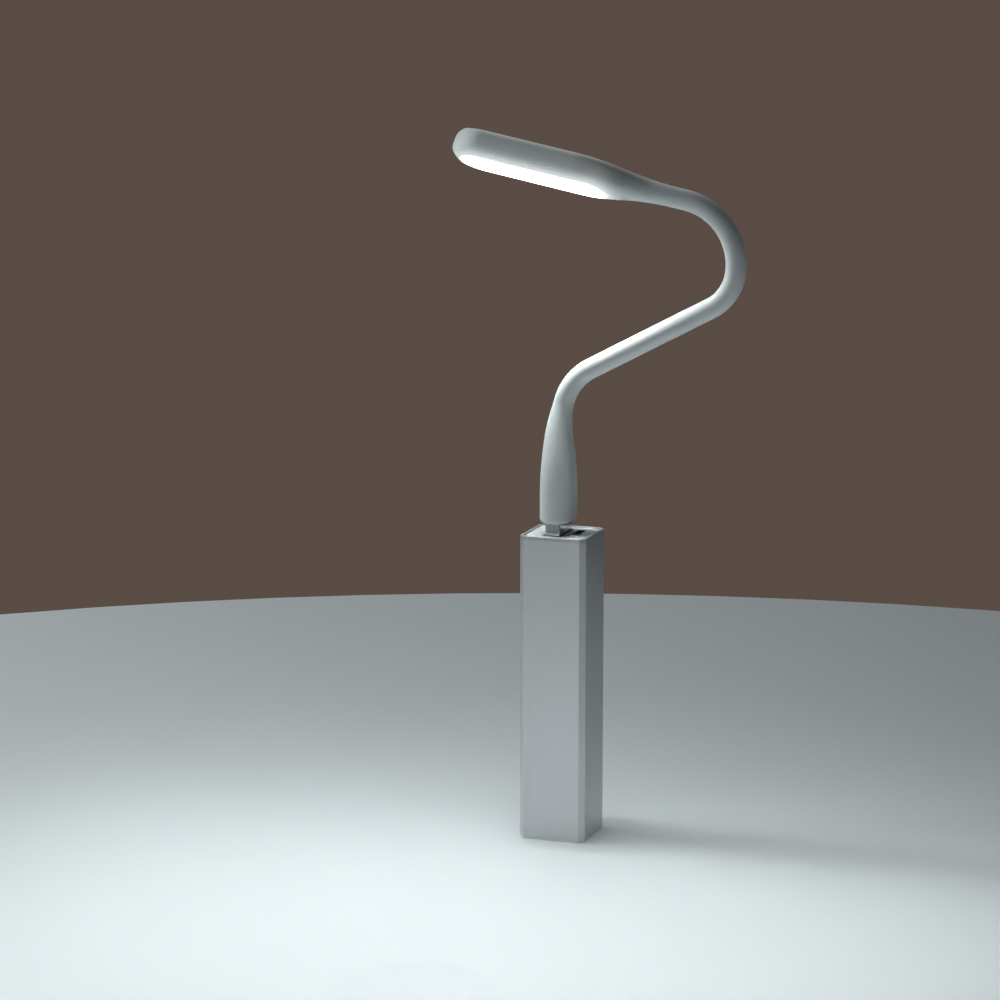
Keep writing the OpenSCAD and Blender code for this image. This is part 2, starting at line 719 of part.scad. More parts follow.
module cover_skin() {
    color([0.93, 0.95, 0.96]) difference() {
        loft(cover_rings);
        core_form();
        translate([plug_x, 0, cover_z - 1]) linear_extrude(core_lip + 2) rounded(plug_t, plug_w, plug_r);
        cover_wire(core_top - 1, cover_len + neck_d, mould_gap);
        cover_leads(core_top - 1, cover_len + neck_d, mould_gap);
    }
}

module wire_foot() {
    color([0.75, 0.76, 0.78]) cover_wire(wire_foot_s, cover_len + wire_reach);
}

module leads_foot() {
    color([0.85, 0.15, 0.12]) cover_leads(lead_foot_s, cover_len + lead_reach);
}

// ---- Neck ----
// Soft skin of link k: a cup over the dome below it, a round bar along its run, and a dome at its far end
module neck_skin(k) {
    run = LINK_RUNS[k - 1];
    near = JOINTS[k - 1];
    far = JOINTS[k];
    color([0.93, 0.95, 0.96]) difference() {
        union() {
            run_bar(run, near + joint_groove, far, neck_r);
            translate(place_on(run, far)) sphere(dome_r);
        }
        translate(place_on(run, near)) sphere(cup_r);
        wire_bar(run, near + joint_groove, far + neck_d, mould_gap);
        lead_bars(run, near + joint_groove, far + neck_d, mould_gap);
    }
}

module neck_wire(k) {
    color([0.75, 0.76, 0.78])
        wire_bar(LINK_RUNS[k - 1], JOINTS[k - 1] + core_start, JOINTS[k] + wire_reach);
}

module neck_leads(k) {
    color([0.85, 0.15, 0.12])
        lead_bars(LINK_RUNS[k - 1], JOINTS[k - 1] + core_start, JOINTS[k] + lead_reach);
}

// ---- Head ----
module tray_solid() {
    translate([0, 0, tray_z]) linear_extrude(tray_top - tray_z) slot(tray_tip, tray_len, tray_w);
}

module head_skin() {
    color([0.93, 0.95, 0.96]) difference() {
        at_head() difference() {
            head_form();
            tray_solid();
            translate([0, 0, -head_t]) linear_extrude(head_t)
                slot(head_len - window_inset, window_len, window_w);
        }
        translate(place_on(head_run, head_s)) sphere(cup_r);
        wire_bar(head_run, head_s + joint_groove, head_s + wire_tip_x, mould_gap);
        lead_bars(head_run, head_s + joint_groove, head_s + tray_end + 1, mould_gap);
    }
}

// Hard tray that holds the LED board at its back and the window on its ledge
module head_tray() {
    color([0.96, 0.96, 0.96]) difference() {
        at_head() difference() {
            tray_solid();
            translate([0, 0, -window_seat]) linear_extrude(window_seat + tray_floor)
                slot(cavity_tip, cavity_len, cavity_w);
            translate([0, 0, -head_t]) linear_extrude(head_t - window_seat)
                slot(head_len - window_inset, window_len, window_w);
        }
        lead_bars(head_run, head_s + tray_end - 1, head_s + lead_tip_x + 1, mould_gap);
    }
}

module led_board() {
    color([0.93, 0.94, 0.92]) at_head() translate([0, 0, led_board_z]) linear_extrude(led_board_t)
        slot(cavity_tip - board_gap, cavity_len - 2 * board_gap, cavity_w - 2 * board_gap);
}

// One row of LEDs down the middle of the board, counted from the tip
module leds() {
    color([1, 0.93, 0.55]) at_head() for (k = [0:led_count - 1])
        translate([led_first - k * led_pitch, 0, led_board_z - led_h / 2])
            cube([led_size, led_size, led_h], center = true);
}

// Two resistors side by side at the board's neck end
module led_resistors() {
    size = [resistor_len, resistor_w, 0.5];
    apart = resistor_w + 1.2;
    color([0.15, 0.15, 0.16]) at_head() for (side = mirror_sides)
        translate([resistor_x, side * apart / 2, led_board_z - size[2] / 2]) cube(size, center = true);
}

// Milky window that carries on the head's crowned lower face
module window() {
    color([1, 1, 1]) at_head() intersection() {
        head_form();
        translate([0, 0, -head_t]) linear_extrude(head_t - window_seat)
            slot(head_len - window_inset - window_fit, window_len - 2 * window_fit,
                window_w - 2 * window_fit);
    }
}

module wire_tip() {
    color([0.75, 0.76, 0.78]) wire_bar(head_run, head_s + core_start, head_s + wire_tip_x);
}

module leads_tip() {
    color([0.85, 0.15, 0.12]) lead_bars(head_run, head_s + core_start, head_s + lead_tip_x);
}

bank_case();
bank_top_cap();
bank_bottom_cap();
cell_can();
cell_sleeve();
cell_button();
negative_strip();
positive_strip();
bank_board();
usb_socket_shell();
usb_socket_tongue();
usb_socket_contacts();
charge_port_shell();
charge_port_tongue();
boost_inductor();
controller_chip();
board_capacitors();
plug_shell();
plug_tongue();
plug_contacts();
cover_core();
cover_skin();
wire_foot();
leads_foot();
for (k = [1:links]) {
    neck_skin(k);
    neck_wire(k);
    neck_leads(k);
}
head_skin();
head_tray();
led_board();
leds();
led_resistors();
window();
wire_tip();
leads_tip();
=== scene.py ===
"""USB reading light on a stick power bank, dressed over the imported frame.

Lengths are written in millimetres, which MM turns into metres, and angles in degrees. The power bank
stands on the origin with its front to -Y, and the bent neck lies in the X-Z plane.
"""

import cmath
import json
import logging
import math
from dataclasses import dataclass
from enum import Enum
from functools import cache
from typing import Sequence

import bpy
from mathutils import Matrix, Vector


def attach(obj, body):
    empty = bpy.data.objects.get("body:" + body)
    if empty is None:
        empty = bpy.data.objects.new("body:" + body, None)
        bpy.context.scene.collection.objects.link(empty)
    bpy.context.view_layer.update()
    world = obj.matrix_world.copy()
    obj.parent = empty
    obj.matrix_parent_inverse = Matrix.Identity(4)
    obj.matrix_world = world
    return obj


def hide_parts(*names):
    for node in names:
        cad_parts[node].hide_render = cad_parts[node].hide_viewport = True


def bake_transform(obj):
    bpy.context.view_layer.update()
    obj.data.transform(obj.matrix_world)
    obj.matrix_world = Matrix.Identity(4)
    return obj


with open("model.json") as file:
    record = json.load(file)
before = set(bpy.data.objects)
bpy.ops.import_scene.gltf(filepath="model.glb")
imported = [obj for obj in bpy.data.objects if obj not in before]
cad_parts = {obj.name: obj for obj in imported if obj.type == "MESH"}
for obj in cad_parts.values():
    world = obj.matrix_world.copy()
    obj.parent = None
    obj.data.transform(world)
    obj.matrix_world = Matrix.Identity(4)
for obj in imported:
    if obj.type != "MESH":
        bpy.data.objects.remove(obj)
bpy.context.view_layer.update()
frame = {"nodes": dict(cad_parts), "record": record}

MM = 0.001
NECK_D = 6.1  # thickness of the round neck
END_STEP = 0.06  # between a sharp end of a skin and the section that keeps it sharp
CLOSE = 1e-9  # a length so little short of a run's start counts as on it
CREASE = 40.0  # an edge over this angle stays sharp
NOISE_SPAN = (0.3, 0.7)  # holds most values of a noise
MADE_HERE = ("case_metal", "soft_skin", "window")  # slots of the pieces that stand in for solids

Colour = tuple[float, float, float]
Point = tuple[float, float, float]
Socket = bpy.types.NodeSocket
Material = bpy.types.Material
Piece = bpy.types.Object
log = logging.getLogger("reading_light")


class Sum(Enum):
    """What a sum in a tree is done with."""

    NUMBERS = "ShaderNodeMath"
    VECTORS = "ShaderNodeVectorMath"


class Cut(Enum):
    """What a cutter takes off a piece."""

    INSIDE = "DIFFERENCE"
    OUTSIDE = "INTERSECT"


class Nodes:
    """A node tree, with short calls for what every tree here needs."""

    def __init__(self, tree: bpy.types.NodeTree) -> None:
        """Keeps the tree that the nodes go into."""
        self.tree = tree

    def node(self, kind: str, **settings: object) -> bpy.types.Node:
        """Adds a node.

        Args:
            kind: Blender's type name of the node.
            **settings: Properties of the node.

        Returns:
            The new node.
        """
        made = self.tree.nodes.new(kind)
        for key, value in settings.items():
            setattr(made, key, value)
        return made

    def join(self, source: Socket, target: Socket) -> None:
        """Links one socket to another."""
        self.tree.links.new(source, target)

    def math(self, operation: str, *values: object, kind: Sum = Sum.NUMBERS) -> Socket:
        """Adds a sum.

        Args:
            operation: Blender's name of the sum.
            *values: Sockets or numbers.
            kind: What it is done with.

        Returns:
            The result.
        """
        made = self.node(kind.value, operation=operation)
        for socket, value in zip(made.inputs, values):
            if isinstance(value, Socket):
                self.join(value, socket)
            else:
                socket.default_value = value
        return made.outputs[0]


# ---- finishes


@dataclass(frozen=True)
class Slot:
    """Place and size of the window, in metres; half is half the length of its straight sides."""

    axes: Matrix
    middle: Point
    half: float
    radius: float


class Canvas(Nodes):
    """Node tree of one material, with short calls for what the finishes share."""

    def __init__(self, name: str) -> None:
        """Starts an empty material with one shader.

        Args:
            name: Name of the material.
        """
        self.material = bpy.data.materials.new(name)
        self.material.use_nodes = True
        super().__init__(self.material.node_tree)
        self.shader = self.tree.nodes["Principled BSDF"]
        self.place = self.node("ShaderNodeTexCoord").outputs["Object"]

    def noise(self, scale: float, detail: float = 3.0, stretch: Point = (1, 1, 1)) -> Socket:
        """Gives noise on the object coordinates.

        Args:
            scale: Cells per metre.
            detail: Octaves of the noise.
            stretch: Factor on the coordinates along each axis.

        Returns:
            A value about 0.5.
        """
        mapping = self.node("ShaderNodeMapping")
        mapping.inputs["Scale"].default_value = stretch
        self.join(self.place, mapping.inputs["Vector"])
        made = self.node("ShaderNodeTexNoise")
        made.inputs["Scale"].default_value = scale
        made.inputs["Detail"].default_value = detail
        self.join(mapping.outputs["Vector"], made.inputs["Vector"])
        return made.outputs["Fac"]

    def ramp(self, value: Socket, span: tuple[float, float], ends: tuple[float, float] = (0, 1)) -> Socket:
        """Turns a span of a value into another, and holds it beyond the ends.

        Args:
            value: The value.
            span: The value where the ramp begins and ends.
            ends: What the ramp gives there.

        Returns:
            The result.
        """
        made = self.node("ShaderNodeMapRange")
        for key, number in zip(("From Min", "From Max", "To Min", "To Max"), span + ends):
            made.inputs[key].default_value = number
        self.join(value, made.inputs["Value"])
        return made.outputs["Result"]

    def paint(self, value: Socket, first: Colour, second: Colour) -> None:
        """Sets the base colour between two colours.

        Args:
            value: 0 gives the first colour and 1 the second.
            first: Linear colour.
            second: Linear colour.
        """
        made = self.node("ShaderNodeMix", data_type="RGBA")
        made.inputs["A"].default_value = (*first, 1)
        made.inputs["B"].default_value = (*second, 1)
        self.join(value, made.inputs["Factor"])
        self.join(made.outputs["Result"], self.shader.inputs["Base Color"])

    def mottle(self, base: Colour, spread: float, scale: float, stretch: Point = (1, 1, 1)) -> None:
        """Gives the base colour a slight drift over the surface.

        Args:
            base: Linear colour in the middle of the drift.
            spread: Share by which the colour goes up and down.
            scale: Cells per metre.
            stretch: Factor on the coordinates along each axis.
        """
        low = tuple(c * (1 - spread) for c in base)
        high = tuple(min(1.0, c * (1 + spread)) for c in base)
        self.paint(self.ramp(self.noise(scale, 2.0, stretch), NOISE_SPAN), low, high)

    def roughen(self, low: float, high: float, scale: float, stretch: Point = (1, 1, 1)) -> None:
        """Lets the roughness drift between two values, by a noise of a scale and stretch."""
        drift = self.ramp(self.noise(scale, stretch=stretch), NOISE_SPAN, (low, high))
        self.join(drift, self.shader.inputs["Roughness"])

    def bump(self, height: Socket, depth: float, strength: float) -> None:
        """Raises the surface by a height.

        Args:
            height: Value from 0 to 1.
            depth: Height of 1, in millimetres.
            strength: Strength of the bump.
        """
        made = self.node("ShaderNodeBump")
        made.inputs["Distance"].default_value = depth * MM
        made.inputs["Strength"].default_value = strength
        self.join(height, made.inputs["Height"])
        if self.shader.inputs["Normal"].is_linked:
            self.join(self.shader.inputs["Normal"].links[0].from_socket, made.inputs["Normal"])
        self.join(made.outputs["Normal"], self.shader.inputs["Normal"])

    def slot_distance(self, slot: Slot) -> Socket:
        """Measures how far a point lies from the middle line of the window.

        Args:
            slot: Place and size of the window.

        Returns:
            The distance in metres.
        """
        back = slot.axes.inverted()
        turn = self.node("ShaderNodeMapping")
        turn.inputs["Location"].default_value = back.translation - Vector(slot.middle)
        turn.inputs["Rotation"].default_value = back.to_euler("XYZ")
        self.join(self.place, turn.inputs["Vector"])
        split = self.node("ShaderNodeSeparateXYZ")
        self.join(turn.outputs["Vector"], split.inputs["Vector"])
        along = self.math("ABSOLUTE", split.outputs["X"])
        past = self.math("MAXIMUM", self.math("SUBTRACT", along, slot.half), 0.0)
        whole = self.node("ShaderNodeCombineXYZ")
        for key, value in (("X", past), ("Y", split.outputs["Y"]), ("Z", split.outputs["Z"])):
            self.join(value, whole.inputs[key])
        length = self.node("ShaderNodeVectorMath", operation="LENGTH")
        self.join(whole.outputs["Vector"], length.inputs[0])
        return length.outputs["Value"]

    def glow(self, strength: Socket, colour: Colour) -> None:
        """Lets the surface give light of a strength and a colour."""
        self.join(strength, self.shader.inputs["Emission Strength"])
        self.set(Emission_Color=(*colour, 1))

    def set(self, **values: object) -> None:
        """Sets the shader's own sockets; an underscore in a name stands for a space."""
        for key, value in values.items():
            self.shader.inputs[key.replace("_", " ")].default_value = value


@dataclass(frozen=True)
class Finish:
    """A finish of one material slot."""

    slot: str
    colour: Colour

    def put_on(self, made: Canvas) -> None:
        """Puts the finish on an empty canvas, which each kind of finish does in its own way."""
        raise NotImplementedError


@dataclass(frozen=True)
class AnodisedAluminium(Finish):
    """Extruded aluminium, bead blasted and clear anodised."""

    grain: float = 5200.0
    streak: float = 420.0

    def put_on(self, made: Canvas) -> None:
        """Puts on satin metal with a fine grain and faint streaks up the extrusion.

        Args:
            made: The empty canvas.
        """
        made.set(Metallic=0.85, Specular_IOR_Level=0.5)
        made.mottle(self.colour, spread=0.012, scale=self.streak, stretch=(1, 1, 0.02))
        made.roughen(low=0.36, high=0.46, scale=1400)
        made.bump(made.noise(self.grain, detail=2), depth=0.006, strength=0.55)
        streaks = made.noise(self.streak * 3, detail=2, stretch=(1, 1, 0.01))
        made.bump(streaks, depth=0.0015, strength=0.2)


@dataclass(frozen=True)
class MouldedPlastic(Finish):
    """Spark-textured moulded plastic."""

    rough: float = 0.45
    grain: float = 2600.0
    depth: float = 0.012

    def put_on(self, made: Canvas) -> None:
        """Puts on plastic with a fine mould texture.

        Args:
            made: The empty canvas.
        """
        made.set(IOR=1.49)
        made.mottle(self.colour, spread=0.015, scale=220)
        made.roughen(self.rough - 0.05, self.rough + 0.05, scale=900)
        made.bump(made.noise(self.grain), self.depth, strength=0.4)


@dataclass(frozen=True)
class SheetMetal(Finish):
    """Plated sheet, drawn along its length."""

    rough: float = 0.24
    stretch: Point = (1, 1, 0.04)
    line: float = 2600.0

    def put_on(self, made: Canvas) -> None:
        """Puts on plated metal with fine draw lines.

        Args:
            made: The empty canvas.
        """
        made.set(Metallic=1.0)
        made.mottle(self.colour, spread=0.05, scale=700, stretch=self.stretch)
        made.roughen(self.rough - 0.06, self.rough + 0.08, self.line, self.stretch)
        made.bump(made.noise(self.line, stretch=self.stretch), depth=0.01, strength=0.5)


@dataclass(frozen=True)
class CircuitBoard(Finish):
    """Solder mask over a copper pour with fine tracks."""

    mask_rough: float = 0.32
    pitch: float = 900.0
    jitter: float = 0.35
    track_edge: tuple[float, float] = (0.06, 0.12)
    gap_shade: float = 0.72

    def put_on(self, made: Canvas) -> None:
        """Puts on a faint maze of tracks under the mask.

        Args:
            made: The empty canvas.
        """
        cells = made.node("ShaderNodeTexVoronoi", feature="DISTANCE_TO_EDGE", distance="MANHATTAN")
        cells.inputs["Scale"].default_value = self.pitch
        cells.inputs["Randomness"].default_value = self.jitter
        made.join(made.place, cells.inputs["Vector"])
        track = made.ramp(cells.outputs["Distance"], self.track_edge)
        made.paint(track, tuple(c * self.gap_shade for c in self.colour), self.colour)
        made.bump(track, depth=0.03, strength=0.5)
        made.set(Roughness=self.mask_rough, Coat_Weight=0.3)


@dataclass(frozen=True)
class SoftTouchSkin(Finish):
    """White soft overmoulding, with a painted glow round the head's window that stands in for the LEDs'
    light coming through the skin.
    """

    rough: float = 0.5
    grain: float = 3800.0
    light: Colour = (0.97, 1.0, 0.99)
    strength: float = 0.42
    reach: float = 6.0
    fade: float = 2.5

    def put_on(self, made: Canvas) -> None:
        """Puts on the matt skin of the neck and the cover.

        Args:
            made: The empty canvas.
        """
        made.set(IOR=1.42, Sheen_Weight=0.12, Sheen_Roughness=0.4)
        made.mottle(self.colour, spread=0.012, scale=160)
        made.roughen(self.rough - 0.05, self.rough + 0.06, scale=700)
        made.bump(made.noise(self.grain), depth=0.01, strength=0.35)

    def lit_material(self, slot: Slot) -> Material:
        """Makes the skin of the head, with a painted glow round the window in place of the LEDs' light
        coming through it.

        Args:
            slot: Place and size of the window.

        Returns:
            The material.
        """
        made = Canvas("painted_glow_head_skin")
        self.put_on(made)
        # Painted glow: the skin gives light near the window, fading over the reach, in place of the LEDs'
        # light through it.
        near = made.ramp(made.slot_distance(slot), (slot.radius, slot.radius + self.reach * MM), (1, 0))
        made.glow(made.math("MULTIPLY", made.math("POWER", near, self.fade), self.strength), self.light)
        return made.material


@dataclass(frozen=True)
class LitWindow(Finish):
    """Milky window with the LEDs on behind it."""

    light: Colour = (0.93, 1.0, 1.0)
    strength: float = 118.0
    rim: float = 0.4
    rim_width: float = 5.0
    fade: float = 3.0

    def put_on(self, made: Canvas) -> None:
        """Puts on the milky plastic, without its light.

        Args:
            made: The empty canvas.
        """
        made.mottle(self.colour, spread=0.01, scale=300)
        made.roughen(low=0.25, high=0.35, scale=800)
        made.set(IOR=1.49)

    def lit_material(self, slot: Slot) -> Material:
        """Makes the diffuser with the LEDs on, brightest along its middle.

        Args:
            slot: Place and size of the window.

        Returns:
            The material.
        """
        made = Canvas("window_lit")
        self.put_on(made)
        inward = made.ramp(made.slot_distance(slot), (slot.radius, slot.radius - self.rim_width * MM))
        core = made.math("MULTIPLY", made.math("POWER", inward, self.fade), self.strength)
        made.glow(made.math("ADD", core, self.rim), self.light)
        return made.material


SKIN = SoftTouchSkin("soft_skin", (0.79, 0.82, 0.82))
WINDOW = LitWindow("window", (0.90, 0.90, 0.90))
FINISHES: dict[str, Finish] = {made.slot: made for made in (
    AnodisedAluminium("case_metal", (0.60, 0.61, 0.62)),
    MouldedPlastic("cap_plastic", (0.72, 0.75, 0.75)),
    SheetMetal("cell", (0.62, 0.62, 0.60), rough=0.3, stretch=(0.05, 0.05, 1)),
    MouldedPlastic("sleeve", (0.05, 0.22, 0.12), rough=0.25, grain=900.0, depth=0.004),
    SheetMetal("strip_metal", (0.66, 0.64, 0.60), rough=0.28),
    CircuitBoard("circuit_board", (0.015, 0.14, 0.05)),
    SheetMetal("sheet_steel", (0.68, 0.68, 0.66), rough=0.2),
    MouldedPlastic("white_plastic", (0.80, 0.80, 0.79), rough=0.4),
    SheetMetal("contact_metal", (0.86, 0.62, 0.24), rough=0.2),
    MouldedPlastic("dark_plastic", (0.02, 0.02, 0.022), rough=0.42),
    SKIN,
    SheetMetal("wire_metal", (0.60, 0.61, 0.62), rough=0.3),
    MouldedPlastic("lead_plastic", (0.55, 0.03, 0.02), rough=0.35, grain=1500.0, depth=0.006),
    CircuitBoard("led_circuit", (0.78, 0.78, 0.75)),
    MouldedPlastic("led", (0.85, 0.70, 0.20), rough=0.3, grain=1600.0, depth=0.004),
)}


@cache
def material_of(slot: str) -> Material:
    """Makes the material of a slot, once.

    Args:
        slot: Name of the slot.

    Returns:
        The material.
    """
    canvas = Canvas(slot + "_finish")
    FINISHES[slot].put_on(canvas)
    return canvas.material


# ---- route of the light


@dataclass(frozen=True)
class Run:
    """A straight or round run of the light's middle line, cut into a number of links."""

    length: float
    turn: float
    links: int


def arc(radius: float, angle: float) -> float:
    """Returns the length of an arc for a radius and an angle."""
    return radius * math.radians(angle)


def polar(radius: float, angle: float) -> complex:
    """Returns a point on a circle about nought, as x + iy."""
    return cmath.rect(radius, math.radians(angle))


@dataclass
class Route:
    """Middle line of the light, in the X-Z plane, from the plug's shoulder to the head's tip."""

    foot: tuple[float, float] = (-1.2, 96.3)
    runs: tuple[Run, ...] = (
        Run(23.7, 0, 0),
        Run(arc(47.5, 15), -15, 0),
        Run(arc(16.5, 47), -47, 1),
        Run(41.4, 0, 4),
        Run(arc(14, 59), 59, 1),
        Run(arc(18.9, 81.5), 81.5, 3),
        Run(73, 0, 0),
    )

    def start(self, index: int) -> float:
        """Returns the length along the route at which a run begins."""
        return sum(run.length for run in self.runs[:index])

    def heading(self, s: float) -> float:
        """Finds the heading at a length.

        Args:
            s: Length along the route.

        Returns:
            The angle up from +X.
        """
        index = sum(s >= self.start(i) - CLOSE for i in range(1, len(self.runs)))
        before = 90 + sum(run.turn for run in self.runs[:index])
        return before + self.runs[index].turn * (s - self.start(index)) / self.runs[index].length

    def point(self, s: float) -> Vector:
        """Finds the place at a length.

        Args:
            s: Length along the route.

        Returns:
            The place in metres.
        """
        here = complex(*self.foot)
        heading = 90.0
        for index, run in enumerate(self.runs):
            last = index == len(self.runs) - 1 or s <= self.start(index + 1)
            step = s - self.start(index) if last else run.length
            turned = run.turn * step / run.length
            if run.turn == 0:
                here += polar(step, heading)
            elif step:
                radius = step / math.radians(turned)
                here += radius * (polar(1, heading + turned) - polar(1, heading)) / 1j
            heading += turned
            if last:
                break
        return Vector((here.real, 0, here.imag)) * MM

    def direction(self, s: float) -> Vector:
        """Returns the unit direction at a length."""
        way = polar(1, self.heading(s))
        return Vector((way.real, 0, way.imag))

    def axes(self, s: float, roll: float = 0.0) -> Matrix:
        """Returns the axes at a length, rolled about X: X along the route, Y across, Z square to both."""
        turn = Matrix.Rotation(-math.radians(self.heading(s)), 4, "Y")
        return Matrix.Translation(self.point(s)) @ (turn @ Matrix.Rotation(math.radians(roll), 4, "X"))

    def joints(self) -> list[float]:
        """Lists the turning points, from the cover's to the head's.

        Returns:
            Their lengths along the route.
        """
        found = []
        for index, run in enumerate(self.runs):
            found += [self.start(index) + run.length * j / run.links for j in range(run.links)]
        return found + [self.start(len(self.runs) - 1)]


# ---- meshes


@dataclass(frozen=True)
class Ring:
    """One section of a swept skin.

    It reaches half_u along its Z and half_v along its Y, where a straight part of twice flat comes on
    top. Power 2 makes it round, and a higher one squarer.
    """

    axes: Matrix
    half_u: float
    half_v: float
    flat: float = 0.0
    power: float = 2.0


class SweepTree(Nodes):
    """Geometry Nodes tree that lays a skin over sections along a path."""

    ATTRIBUTES: dict[str, str] = {
        "axis_u": "FLOAT_VECTOR", "axis_v": "FLOAT_VECTOR",
        "half_u": "FLOAT", "half_v": "FLOAT", "flat": "FLOAT", "power": "FLOAT",
    }

    def __init__(self) -> None:
        """Builds the tree with its named inputs."""
        super().__init__(bpy.data.node_groups.new("ring_sweep", "GeometryNodeTree"))
        face = self.tree.interface
        face.new_socket("Path", in_out="INPUT", socket_type="NodeSocketGeometry")
        self.keys: dict[str, str] = {}
        for name, kind, value in (
            ("Sides", "NodeSocketInt", 64),
            ("Rings", "NodeSocketInt", 2),
            ("Weld Distance", "NodeSocketFloat", 2e-7),
            ("Crease Angle", "NodeSocketFloat", math.radians(CREASE)),
            ("Finish", "NodeSocketMaterial", None),
        ):
            socket = face.new_socket(name, in_out="INPUT", socket_type=kind)
            if value is not None:
                socket.default_value = value
            self.keys[name] = socket.identifier
        face.new_socket("Skin", in_out="OUTPUT", socket_type="NodeSocketGeometry")
        self._build()

    def _build(self) -> None:
        """Wraps a grid of sides by rings round the sections and finishes it."""
        given = self.node("NodeGroupInput")
        sides, rings = given.outputs["Sides"], given.outputs["Rings"]
        across = self.math("SUBTRACT", rings, 1.0)
        grid = self.node("GeometryNodeMeshGrid")
        self.join(sides, grid.inputs["Size X"])
        self.join(across, grid.inputs["Size Y"])
        self.join(self.math("ADD", sides, 1.0), grid.inputs["Vertices X"])
        self.join(rings, grid.inputs["Vertices Y"])
        spot = self.node("ShaderNodeSeparateXYZ")
        self.join(self.node("GeometryNodeInputPosition").outputs[0], spot.inputs[0])
        side = self.math("ADD", spot.outputs["X"], self.math("MULTIPLY", sides, 0.5))
        ring = self.math("ROUND", self.math("ADD", spot.outputs["Y"], self.math("MULTIPLY", across, 0.5)))
        share = self.math("DIVIDE", self.math("ADD", side, 0.5), sides)
        angle = self.math("MULTIPLY", share, math.tau)
        put = self._after(grid, "GeometryNodeSetPosition")
        self.join(self._point(self._sections(given, ring), angle), put.inputs["Position"])
        self._complete(given, put)

    def _sections(self, given: bpy.types.Node, ring: Socket) -> dict[str, Socket]:
        """Reads the place, axes and sizes of a section off the path.

        Args:
            given: Input node of the tree.
            ring: Index of the section.

        Returns:
            The values by name.
        """
        fields = {"place": self.node("GeometryNodeInputPosition").outputs[0]}
        for name, kind in self.ATTRIBUTES.items():
            read = self.node("GeometryNodeInputNamedAttribute", data_type=kind)
            read.inputs["Name"].default_value = name
            fields[name] = read.outputs["Attribute"]
        found: dict[str, Socket] = {}
        for name, value in fields.items():
            kind = self.ATTRIBUTES.get(name, "FLOAT_VECTOR")
            sample = self.node("GeometryNodeSampleIndex", data_type=kind, domain="POINT", clamp=True)
            self.join(given.outputs["Path"], sample.inputs["Geometry"])
            self.join(value, sample.inputs["Value"])
            self.join(ring, sample.inputs["Index"])
            found[name] = sample.outputs["Value"]
        return found

    def _point(self, section: dict[str, Socket], angle: Socket) -> Socket:
        """Finds a point of the skin.

        Args:
            section: Place, axes and sizes of its section.
            angle: Angle round the section, in radians.

        Returns:
            The point.
        """
        sine = self.math("SINE", angle)
        cosine = self.math("COSINE", angle)
        u = self.math("MULTIPLY", section["half_u"], self._corner(sine, section["power"]))
        round_v = self.math("MULTIPLY", section["half_v"], self._corner(cosine, section["power"]))
        v = self.math("ADD", round_v, self.math("MULTIPLY", self.math("SIGN", cosine), section["flat"]))
        along_u = self.math("MULTIPLY", section["axis_u"], u, kind=Sum.VECTORS)
        along_v = self.math("MULTIPLY", section["axis_v"], v, kind=Sum.VECTORS)
        offset = self.math("ADD", along_u, along_v, kind=Sum.VECTORS)
        return self.math("ADD", section["place"], offset, kind=Sum.VECTORS)

    def _corner(self, value: Socket, power: Socket) -> Socket:
        """Returns a sine or cosine drawn out towards a squarer section."""
        size = self.math("POWER", self.math("ABSOLUTE", value), self.math("DIVIDE", 2.0, power))
        return self.math("MULTIPLY", self.math("SIGN", value), size)

    def _after(self, last: bpy.types.Node, kind: str, **settings: object) -> bpy.types.Node:
        """Adds a node that takes the geometry further.

        Args:
            last: Node that gives the geometry so far.
            kind: Blender's type name of the new node.
            **settings: Properties of the new node.

        Returns:
            The new node.
        """
        made = self.node(kind, **settings)
        self.join(last.outputs[0], made.inputs["Geometry"])
        return made

    def _complete(self, given: bpy.types.Node, put: bpy.types.Node) -> None:
        """Welds the skin, shades it, realizes it and gives it its material.

        Args:
            given: Input node of the tree.
            put: Node that gives the wrapped grid.
        """
        weld = self._after(put, "GeometryNodeMergeByDistance")
        self.join(given.outputs["Weld Distance"], weld.inputs["Distance"])
        smooth = self._after(weld, "GeometryNodeSetShadeSmooth", domain="FACE")
        crease = self._after(smooth, "GeometryNodeSetShadeSmooth", domain="EDGE")
        crease.inputs["Shade Smooth"].default_value = False
        bend = self.node("GeometryNodeInputMeshEdgeAngle").outputs["Unsigned Angle"]
        sharp = self.math("GREATER_THAN", bend, given.outputs["Crease Angle"])
        self.join(sharp, crease.inputs["Selection"])
        real = self._after(crease, "GeometryNodeRealizeInstances")
        dressed = self._after(real, "GeometryNodeSetMaterial")
        self.join(given.outputs["Finish"], dressed.inputs["Material"])
        self.join(dressed.outputs[0], self.node("NodeGroupOutput").inputs["Skin"])

    def sweep(self, name: str, rings: Sequence[Ring], sides: int, finish: Material) -> Piece:
        """Makes a skin over rings as a plain mesh.

        Args:
            name: Name of the piece.
            rings: Sections in order; a first and last one of no size close the ends.
            sides: Points in each section, a multiple of four.
            finish: Material of the skin.

        Returns:
            The object.
        """
        path = bpy.data.meshes.new(name + "_path")
        path.from_pydata([ring.axes.translation for ring in rings], [], [])
        columns = {"axis_u": 2, "axis_v": 1}
        for key, kind in self.ATTRIBUTES.items():
            for spot, ring in zip(path.attributes.new(key, kind, "POINT").data, rings):
                if key in columns:
                    spot.vector = ring.axes.col[columns[key]].to_3d()
                else:
                    spot.value = getattr(ring, key) * (1.0 if key == "power" else MM)
        piece = placed(name, path)
        modifier = piece.modifiers.new("sweep", "NODES")
        modifier.node_group = self.tree
        for key, value in (("Sides", sides), ("Rings", len(rings)), ("Finish", finish)):
            modifier[self.keys[key]] = value
        return bake(piece)


def placed(name: str, data: bpy.types.ID) -> Piece:
    """Puts some data into the scene as an object.

    Args:
        name: Name of the object.
        data: Its mesh, lamp or camera.

    Returns:
        The object.
    """
    made = bpy.data.objects.new(name, data)
    bpy.context.scene.collection.objects.link(made)
    return made


